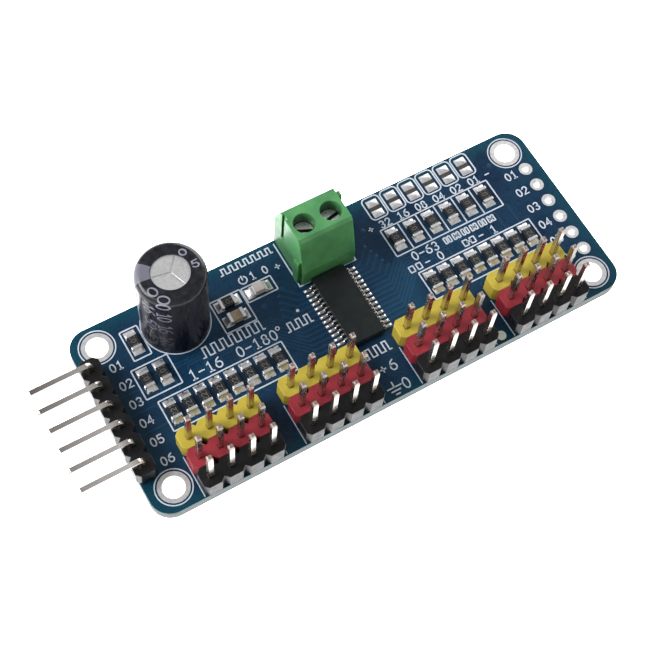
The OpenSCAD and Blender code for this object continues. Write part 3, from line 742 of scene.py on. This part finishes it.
def pillow(bm, corner, along, across, rise, z0, nu=8, nv=8):
    """Closed body with a flat foot and a crowned top; rise(u, v) is its height for u, v in 0..1."""
    grid = []
    for i in range(nu + 1):
        row = []
        for j in range(nv + 1):
            u, v = i / nu, j / nv
            p = corner + along * u + across * v
            row.append(bm.verts.new((p.x, p.y, z0 + rise(u, v))))
        grid.append(row)
    foot = [[bm.verts.new((w.co.x, w.co.y, z0)) if i in (0, nu) or j in (0, nv) else None
             for j, w in enumerate(row)] for i, row in enumerate(grid)]
    for i in range(nu):
        for j in range(nv):
            bm.faces.new((grid[i][j], grid[i + 1][j], grid[i + 1][j + 1], grid[i][j + 1]))
    rim = [(i, 0) for i in range(nu)] + [(nu, j) for j in range(nv)]
    rim += [(i, nv) for i in range(nu, 0, -1)] + [(0, j) for j in range(nv, 0, -1)]
    for (i, j), (k, m) in zip(rim, rim[1:] + rim[:1]):
        bm.faces.new((grid[i][j], grid[k][m], foot[k][m], foot[i][j]))
    bm.faces.new([foot[i][j] for i, j in rim])


def fillet(bm, box, out, reach, width, height):
    """Solder that runs from an end cap's face down to the pad's edge."""
    side = Vector((-out.y, out.x))
    mid = middle(box)
    depth = abs((box[1] - box[0]).to_2d().dot(out)) / 2
    corner = Vector((mid.x, mid.y)) + out * (depth - 0.04) - side * width / 2

    def rise(u, v):
        edge = 1 - abs(2 * v - 1) ** 5 * 0.75
        return (height * (1 - u) ** 1.9 + 0.05 * (1 - u ** 6)) * edge + 0.012

    pillow(bm, corner, out * (reach + 0.04), side * width, rise, TOP + PAD_Z * 0.5, nu=7, nv=8)


PAD_SHIFT = 0.28        # from an end cap's middle out to its pad's middle
PAD_HALF = (0.5, 0.69)  # half length and half width of a part's pad
FILLET_REACH = 0.52
FILLET_W = 1.24
CHIP_ROWS = (("output_resistors_left", "output_resistor_caps_left"),
             ("output_resistors_right", "output_resistor_caps_right"),
             ("address_resistors", "address_resistor_caps"),
             ("single_resistors", "single_resistor_caps"),
             ("ceramic_capacitor", "ceramic_capacitor_caps"),
             ("power_led_base", "power_led_caps"))


def chip_part_pads():
    """Tinned pads and solder fillets of every two-ended part."""
    pads = bmesh.new()
    joints = bmesh.new()
    for core_node, caps_node in CHIP_ROWS:
        for box, out in end_caps(core_node, caps_node):
            mid = middle(box)
            side = Vector((-out.y, out.x))
            c = Vector((mid.x, mid.y)) + out * PAD_SHIFT
            tall = box[1].z - TOP
            half_l, half_w = out * PAD_HALF[0], side * PAD_HALF[1]
            near, far = c - half_l, c + half_l
            outline = [near - half_w, far - half_w, far + half_w, near + half_w]
            plate(pads, [(q.x, q.y) for q in outline], TOP, TOP + PAD_Z)
            reach = FILLET_REACH + random.uniform(-0.04, 0.04)
            fillet(joints, box, out, reach, FILLET_W, tall * random.uniform(0.6, 0.78))
    piece("part_pads", pads, FINISHES["tinned_copper"])
    piece("solder_fillets", joints, FINISHES["solder"], smooth=60)


LEAD_PAD = (0.75, 0.3, 0.18)    # reach behind and past the toe, and half width
TOE_SOLDER = (0.3, 0.32)        # length and width of the solder in front of a toe


def toe_rise(u, v):
    return 0.02 + 0.13 * (1 - u) ** 1.6 * (1 - abs(2 * v - 1) ** 4)


def lead_pads():
    """Pads under the driver chip's feet, with solder up to each toe."""
    pads = bmesh.new()
    joints = bmesh.new()
    chip_x = (CHIP_LOW.x + CHIP_HIGH.x) / 2
    for box in solids("driver_chip_leads"):
        mid = middle(box)
        s = 1 if mid.x > chip_x else -1
        toe = box[1].x if s > 0 else box[0].x
        out = Vector((s, 0.0))
        back, front, half = LEAD_PAD
        x0, x1 = sorted((toe - s * back, toe + s * front))
        y0, y1 = mid.y - half, mid.y + half
        plate(pads, [(x0, y0), (x1, y0), (x1, y1), (x0, y1)], TOP, TOP + PAD_Z)
        reach, width = TOE_SOLDER
        corner = Vector((toe - s * 0.02, mid.y - s * width / 2))
        across = Vector((0, s * width))
        pillow(joints, corner, out * reach, across, toe_rise, TOP + PAD_Z * 0.5, nu=4, nv=4)
    piece("lead_pads", pads, FINISHES["tinned_copper"])
    piece("lead_solder", joints, FINISHES["solder"], smooth=60)


def jumper_domes():
    """Thin crown of solder that the tinning leaves on each jumper pad."""
    bm = bmesh.new()
    inset = 0.06

    def rise(u, v):
        return 0.005 + 0.09 * (1 - abs(2 * u - 1) ** 3) * (1 - abs(2 * v - 1) ** 3)

    for low, high in solids("address_jumper_pads"):
        corner = Vector((low.x + inset, low.y + inset))
        along = Vector((high.x - low.x - 2 * inset, 0))
        across = Vector((0, high.y - low.y - 2 * inset))
        pillow(bm, corner, along, across, rise, high.z - 0.002)
    piece("jumper_solder", bm, FINISHES["solder"], smooth=60)


def jumper_gaps():
    """Bare laminate between the two pads of each open jumper."""
    bm = bmesh.new()
    pads = solids("address_jumper_pads")
    for (low, high), (next_low, _) in zip(pads[0::2], pads[1::2]):
        plate(bm, rounded(low.x, high.y - 0.1, high.x, next_low.y + 0.1, 0.04), TOP, TOP + 0.02)
    piece("jumper_gaps", bm, GAP_LAMINATE)


SPOT_R = 0.6


def bare_spot():
    """Round spot without lacquer at the front edge, between the third and fourth header."""
    bm = bmesh.new()
    spot = arc(SERVO_BLOCKS[2][1].x + 1.1, BOARD_LOW.y + 0.93, SPOT_R, 0, 348, 29)
    plate(bm, spot, TOP, TOP + PAD_Z)
    piece("bare_spot", bm, SPOT_LAMINATE)


# ------------------------------------------------------------------ traces


def copper(bm, points, width=TRACE_W, under=False):
    z0, z1 = (UNDER - TRACE_Z, UNDER) if under else (TOP, TOP + TRACE_Z)
    ribbon(bm, points, width, z0, z1)


BIG_VIA_R = 0.32
SMALL_VIA_R = 0.24
VIA_SIDES = 12
VIA_PROFILE = ((1.0, 0.0), (0.85, 0.03), (0.55, 0.036), (0.3, 0.012))   # share of the radius, height
LANE_GAP = 0.38         # between the level runs of the fanned-out traces


def via(bm, x, y, r):
    """Tented via: a low dome with a dimple, on both faces of the board."""
    last = 360 - 360 / VIA_SIDES
    for z, s in ((TOP, 1), (UNDER, -1)):
        rings = []
        for share, h in VIA_PROFILE:
            ring = arc(x, y, r * share, 0, last, VIA_SIDES - 1)
            rings.append([bm.verts.new((px, py, z + s * h)) for px, py in ring])
        for a, b in zip(rings, rings[1:]):
            for i in range(VIA_SIDES):
                j = (i + 1) % VIA_SIDES
                bm.faces.new((a[i], a[j], b[j], b[i]))
        bm.faces.new(rings[-1])
        bm.faces.new(rings[0])


def fan_out(bm, side, toe, lead_rows, columns):
    """Eight lines: level out of the leads, 45 degrees up and away, then level to their resistors."""
    for k, column in enumerate(columns):
        y = lead_rows[k + 1]
        lane = FIRST_LANE + LANE_GAP * k
        turn = toe + side * (2.7 + 0.06 * k)
        end = turn + side * (lane - y)
        beyond = (column - end) * side > 0.3
        points = [(toe, y), (turn, y), (end, lane)]
        if beyond:
            points += [(column - side * 0.2, lane), (column, lane - 0.2)]
        else:
            points[-1] = (column, y + (column - turn) * side)
        copper(bm, points + [(column, PAD_TOP)])


def traces():
    bm = bmesh.new()
    lead_rows = sorted({round(middle(b).y, 3) for b in solids("driver_chip_leads")})
    leads = box_mm("driver_chip_leads")
    fan_out(bm, -1, leads[0].x, lead_rows, [c.x for c in reversed(OUTPUTS[0])])
    fan_out(bm, 1, leads[1].x, lead_rows, [c.x for c in OUTPUTS[1]])
    # each output resistor feeds its signal pin
    for row, blocks in ((OUTPUTS[0], SERVO_TOPS[:2]), (OUTPUTS[1], SERVO_TOPS[2:])):
        pins = [low.x + PITCH * (c + 0.5) for low, _ in blocks for c in range(4)]
        for c, x in zip(row, pins):
            y0 = c.y - 1.6
            copper(bm, [(c.x, y0), (c.x, y0 - 0.35), (c.x + max(-1.1, min(1.1, x - c.x)), y0 - 1.4)])
    # address inputs: jumper to resistor, and a shared line along the resistors' other ends
    y = ADDRESS[0].y - 1.75
    for a in ADDRESS:
        copper(bm, [(a.x, a.y + 1.6), (a.x, JUMPERS[0].y - 0.9)])
    copper(bm, [(ADDRESS[0].x - 0.5, y), (ADDRESS[-1].x + 0.5, y)])
    # the chip's last leads climb to a row of vias beside the terminal
    for k, y in enumerate(lead_rows[9:]):
        for side, toe in ((-1, leads[0].x), (1, leads[1].x)):
            x = toe + side * (0.9 + 0.5 * (4 - k))
            top = y + 1.0 + 0.2 * k
            copper(bm, [(toe, y), (x, y), (x + side * (top - y), top)])
            via(bm, x + side * (top - y), top, SMALL_VIA_R)
    for k, y in enumerate(SIDE_ROWS[1:4]):
        x = SIDE_STRIP[1].x + 3.6 + 0.5 * k
        copper(bm, [(SIDE_STRIP[1].x, y - 1.25), (x - 0.9, y - 1.25), (x, y - 2.15)])
        via(bm, x, y - 2.15, SMALL_VIA_R)
    for x, y in ((-8.6, 5.1), (-5.6, 6.1), (6.6, 8.3), (25.2, 8.9), (-14.8, 10.6)):
        via(bm, x, y, BIG_VIA_R)
    piece("copper_traces", bm, COPPER_UNDER_MASK, smooth=40)


def underside():
    """Wide supply bars, signal lines and pin numbers on the hidden face."""
    bm = bmesh.new()
    rows = [SERVO_BLOCKS[0][0].y + PITCH * (k + 0.5) for k in range(3)]
    left, right = SERVO_BLOCKS[0][0].x + 1.3, SERVO_BLOCKS[3][1].x - 1.3
    copper(bm, [(left, rows[1]), (right, rows[1])], 1.1, under=True)
    x0, x1 = SIDE_STRIP[1].x, SPARE_PADS[0].x - 0.8
    for k in range(6):
        y = SIDE_ROWS[k]
        lane = y * 0.35 + 1.5
        copper(bm, [(x0, y), (x0 + 2, y), (x0 + 4, lane), (x1 - 3.2, lane), (x1 - 1.2, y), (x1, y)],
               under=True)
    piece("underside_traces", bm, COPPER_UNDER_MASK)

    def below(x, y, z):
        return (-x, y, z)

    bm = bmesh.new()
    z0, z1 = UNDER - SILK_Z, UNDER
    for b, (low, high) in enumerate(SERVO_BLOCKS):
        for c in range(4):
            x = low.x + PITCH * (c + 0.5)
            number(bm, "%d" % (4 * b + c + 1), -x, rows[2] + 1.8, 1.0, z0=z0, z1=z1, place=below)
    for k, y in enumerate(SIDE_ROWS):
        number(bm, "%d" % (k + 1), -(SIDE_STRIP[1].x + 1.2), y, 1.0, z0=z0, z1=z1, place=below)
        number(bm, "%d" % (k + 1), -(SPARE_PADS[0].x - 1.8), y, 1.0, z0=z0, z1=z1, place=below)
    for s, c in zip("+-", SCREWS):
        number(bm, s, -c.x, c.y + 0.8, 1.4, z0=z0, z1=z1, place=below)
    for c in HOLES:
        ribbon(bm, arc(c.x, c.y, 2.2, 0, 352, ROUND), SILK_W, z0, z1, closed=True)
    ribbon(bm, arc(CAP_MID.x, CAP_MID.y, CAP_R + 0.2, 113, 427, 44), SILK_W, z0, z1)
    piece("underside_marks", bm, SILK)


# ------------------------------------------------------------------ prints on the parts

LIP_R = 2.2             # inner edge of the sleeve's lip
SHOULDER = 0.8
LIP_FLAT = CAP_R - SHOULDER - LIP_R
CURVE = SHOULDER * math.pi / 2
STRIPE = (135, 173)     # sleeve prints lie between these angles, in degrees from +X
MINUS = (148, 160)
MINUS_SHAPE = (2.6, 1.3, 2.7)           # start of the first minus sign, length, spacing
# Rows of numerals: text, angle, start from the lip's inner edge, height, stroke, spacing
SLEEVE_ROWS = (("0 16 50 1", 205, 0.35, 1.5, 0.19, 1.2), ("00 10 16 105", 231, 0.75, 1.5, 0.19, 0.98),
               ("0", 34, 0.1, 1.2, 0.2, 1.0), ("5", 352.6, 0.25, 1.2, 0.2, 1.0),
               ("1000 25", 60, 1.6, 1.6, 0.2, 1.3))


def on_sleeve(angle, s, lift):
    """Point on the capacitor's sleeve: s runs from the lip's inner edge outward and then down."""
    if s < LIP_FLAT:
        r, z = LIP_R + s, CAP_HIGH.z + lift
    elif s < LIP_FLAT + CURVE:
        t = (s - LIP_FLAT) / SHOULDER
        r = CAP_R - SHOULDER + (SHOULDER + lift) * math.sin(t)
        z = CAP_HIGH.z - SHOULDER + (SHOULDER + lift) * math.cos(t)
    else:
        r, z = CAP_R + lift, CAP_HIGH.z - SHOULDER - (s - LIP_FLAT - CURVE)
    return (CAP_MID.x + r * math.cos(angle), CAP_MID.y + r * math.sin(angle), z)


def dense(points, closed, gap):
    """Adds points so that no stretch is longer than gap."""
    out = []
    n = len(points)
    for i in range(n if closed else n - 1):
        a, b = Vector(points[i]), Vector(points[(i + 1) % n])
        m = max(1, math.ceil((b - a).length / gap))
        out += [a.lerp(b, k / m) for k in range(m)]
    if not closed:
        out.append(Vector(points[-1]))
    return out


def sleeve_number(bm, text, angle_deg, s, height, width, advance):
    """Numerals one below the other down the sleeve; each is turned to read downwards."""
    k = height / FIELD_H
    for i, sign in enumerate(text):
        at = s + i * advance
        for closed, points in NUMERALS[sign]:
            moved = [((py - FIELD_H / 2) * k, at + px * k) for px, py in points]
            moved = dense(moved, closed, 0.22)

            def place(x, y, z):
                return on_sleeve(math.radians(angle_deg) + x / CAP_R, y, z)

            ribbon(bm, moved, width, -0.01, 0.022, closed, place)


def sleeve_patch(bm, a0, a1, s0, s1, low, high, na=14):
    """Closed film that follows the sleeve between two angles and two heights."""
    ns = max(2, math.ceil((s1 - s0) / 0.2))
    angles = [math.radians(a0 + (a1 - a0) * i / na) for i in range(na + 1)]
    heights = [s0 + (s1 - s0) * j / ns for j in range(ns + 1)]
    layers = [[[bm.verts.new(on_sleeve(a, t, lift)) for t in heights] for a in angles]
              for lift in (low, high)]
    for grid in layers:
        for i in range(na):
            for j in range(ns):
                bm.faces.new((grid[i][j], grid[i + 1][j], grid[i + 1][j + 1], grid[i][j + 1]))
    rim = [(i, 0) for i in range(na)] + [(na, j) for j in range(ns)]
    rim += [(i, ns) for i in range(na, 0, -1)] + [(0, j) for j in range(ns, 0, -1)]
    for (i, j), (k, m) in zip(rim, rim[1:] + rim[:1]):
        bm.faces.new((layers[0][i][j], layers[0][k][m], layers[1][k][m], layers[1][i][j]))


def sleeve_prints():
    tall = CAP_HIGH.z - CAP_LOW.z
    end = LIP_FLAT + CURVE + tall - SHOULDER - 0.25
    bm = bmesh.new()
    sleeve_patch(bm, *STRIPE, 0.05, end, -0.02, 0.012)
    piece("sleeve_stripe", bm, SLEEVE_INK, smooth=40)
    bm = bmesh.new()
    first, long, step = MINUS_SHAPE
    for k in range(4):
        s = first + step * k
        sleeve_patch(bm, *MINUS, s, s + long, 0.0, 0.026, na=6)
    piece("sleeve_minus_marks", bm, SLEEVE_DARK_INK, smooth=40)
    bm = bmesh.new()
    for row in SLEEVE_ROWS:
        sleeve_number(bm, *row)
    piece("sleeve_numerals", bm, NUMERAL_INK, smooth=40)


DIGIT_H = 0.62
DIGIT_W = 0.075


def part_digits():
    """Value digits on the resistors."""
    bm = bmesh.new()
    z = box_mm("single_resistors")[1].z
    for row, text, turn in ((OUTPUTS[0] + OUTPUTS[1], "221", 90), (ADDRESS, "103", 90),
                            ([c for c in SINGLES if c.x < CAP_MID.x], "103", 90),
                            ([c for c in SINGLES if c.x > CAP_MID.x], "102", 0)):
        for c in row:
            number(bm, text, c.x, c.y, DIGIT_H, DIGIT_W, turn=turn, z0=z - 0.01, z1=z + 0.008)
    piece("resistor_digits", bm, DIGIT_INK)


# ------------------------------------------------------------------ stage

LENS = 75.1
TARGET = Vector((-3.614, -0.381, TOP))
DISTANCE = 157.34
ELEVATION = 64.05
HEADING = 36.19         # from +Y towards +X
ROLL = -6.94
DIM_SIDE = (0.26, 0.35, 0.90)   # the ceiling is darkest here, so flat tops keep their colour
SKY = 0.7
HORIZON = (0.06, 0.12, 1.4)     # height where the bright band starts to fade, where it ends, strength
FLOOR_REACH = 1200
FLOOR_Z = CAD_BOX[0][2] / MM
FLOOR_GLOW = 2.4
# Soft lamps aimed at the board: name, place, size, power in watts
LAMPS = (("key", (-330, 150, 300), (300, 240), 3.0), ("rim", (300, 260, 160), (300, 200), 1.2))


def aim_camera():
    el, az, roll = (math.radians(a) for a in (ELEVATION, HEADING, ROLL))
    look = Vector((math.cos(el) * math.sin(az), math.cos(el) * math.cos(az), -math.sin(el)))
    level = look.cross(Vector((0, 0, 1))).normalized()
    up = level.cross(look) * math.cos(roll) + level * math.sin(roll)
    right = look.cross(up)
    turn = Matrix((right, up, -look)).transposed().to_4x4()
    data = bpy.data.cameras.new("camera")
    data.lens = LENS
    data.clip_start = 0.01
    camera = bpy.data.objects.new("camera", data)
    camera.matrix_world = Matrix.Translation((TARGET - look * DISTANCE) * MM) @ turn
    bpy.context.scene.collection.objects.link(camera)
    bpy.context.scene.camera = camera


def softbox(name, place, size, power):
    data = bpy.data.lights.new(name, "AREA")
    data.shape = "RECTANGLE"
    data.size, data.size_y = (v * MM for v in size)
    data.energy = power
    lamp = bpy.data.objects.new(name, data)
    lamp.location = Vector(place) * MM
    lamp.rotation_euler = (-Vector(place)).to_track_quat("-Z", "Y").to_euler()
    bpy.context.scene.collection.objects.link(lamp)


def lay_floor():
    bm = bmesh.new()
    r = FLOOR_REACH
    plate(bm, [(-r, -r), (r, -r), (r, r), (-r, r)], FLOOR_Z - 6, FLOOR_Z)
    bmesh.ops.scale(bm, vec=(MM, MM, MM), verts=bm.verts)
    mesh = bpy.data.meshes.new("floor")
    bm.to_mesh(mesh)
    bm.free()
    floor = bpy.data.objects.new("floor", mesh)
    bpy.context.scene.collection.objects.link(floor)
    f = Finish("floor_paper", rough=0.9, ior=1.3)
    f.colour(f.mix(f.noise(90, 2.0), (0.86, 0.86, 0.86), (0.9, 0.9, 0.89)))
    f.shader.inputs["Emission Color"].default_value = (1, 1, 1, 1)
    f.shader.inputs["Emission Strength"].default_value = FLOOR_GLOW
    mesh.materials.append(f.material)


def hang_sky():
    """Studio ceiling: white, greyer towards DIM_SIDE, with a thin bright band on the
    horizon so that the floor has no visible far edge."""
    world = bpy.data.worlds.new("studio")
    world.use_nodes = True
    tree = world.node_tree
    back = tree.nodes["Background"]
    way = tree.nodes.new("ShaderNodeTexCoord").outputs["Generated"]
    dot = tree.nodes.new("ShaderNodeVectorMath")
    dot.operation = "DOT_PRODUCT"
    dot.inputs[1].default_value = DIM_SIDE
    tree.links.new(way, dot.inputs[0])
    ramp = tree.nodes.new("ShaderNodeValToRGB")
    ramp.color_ramp.interpolation = "EASE"
    bright, dim = ramp.color_ramp.elements
    bright.position, bright.color = 0.35, (1, 1, 1, 1)
    dim.position, dim.color = 0.9, (0.7, 0.7, 0.71, 1)
    tree.links.new(dot.outputs["Value"], ramp.inputs["Fac"])
    tree.links.new(ramp.outputs["Color"], back.inputs["Color"])
    split = tree.nodes.new("ShaderNodeSeparateXYZ")
    tree.links.new(way, split.inputs["Vector"])
    band = tree.nodes.new("ShaderNodeMapRange")
    for key, v in zip(("From Min", "From Max", "To Min", "To Max"), (*HORIZON, SKY)):
        band.inputs[key].default_value = v
    tree.links.new(split.outputs["Z"], band.inputs["Value"])
    tree.links.new(band.outputs["Result"], back.inputs["Strength"])
    bpy.context.scene.world = world


dress_frame()
round_edges()
printed_boxes()
printed_marks()
chip_part_pads()
lead_pads()
jumper_domes()
jumper_gaps()
bare_spot()
traces()
underside()
sleeve_prints()
part_digits()
lay_floor()
hang_sky()
for lamp in LAMPS:
    softbox(*lamp)
bpy.context.scene.view_settings.view_transform = "Standard"
aim_camera()
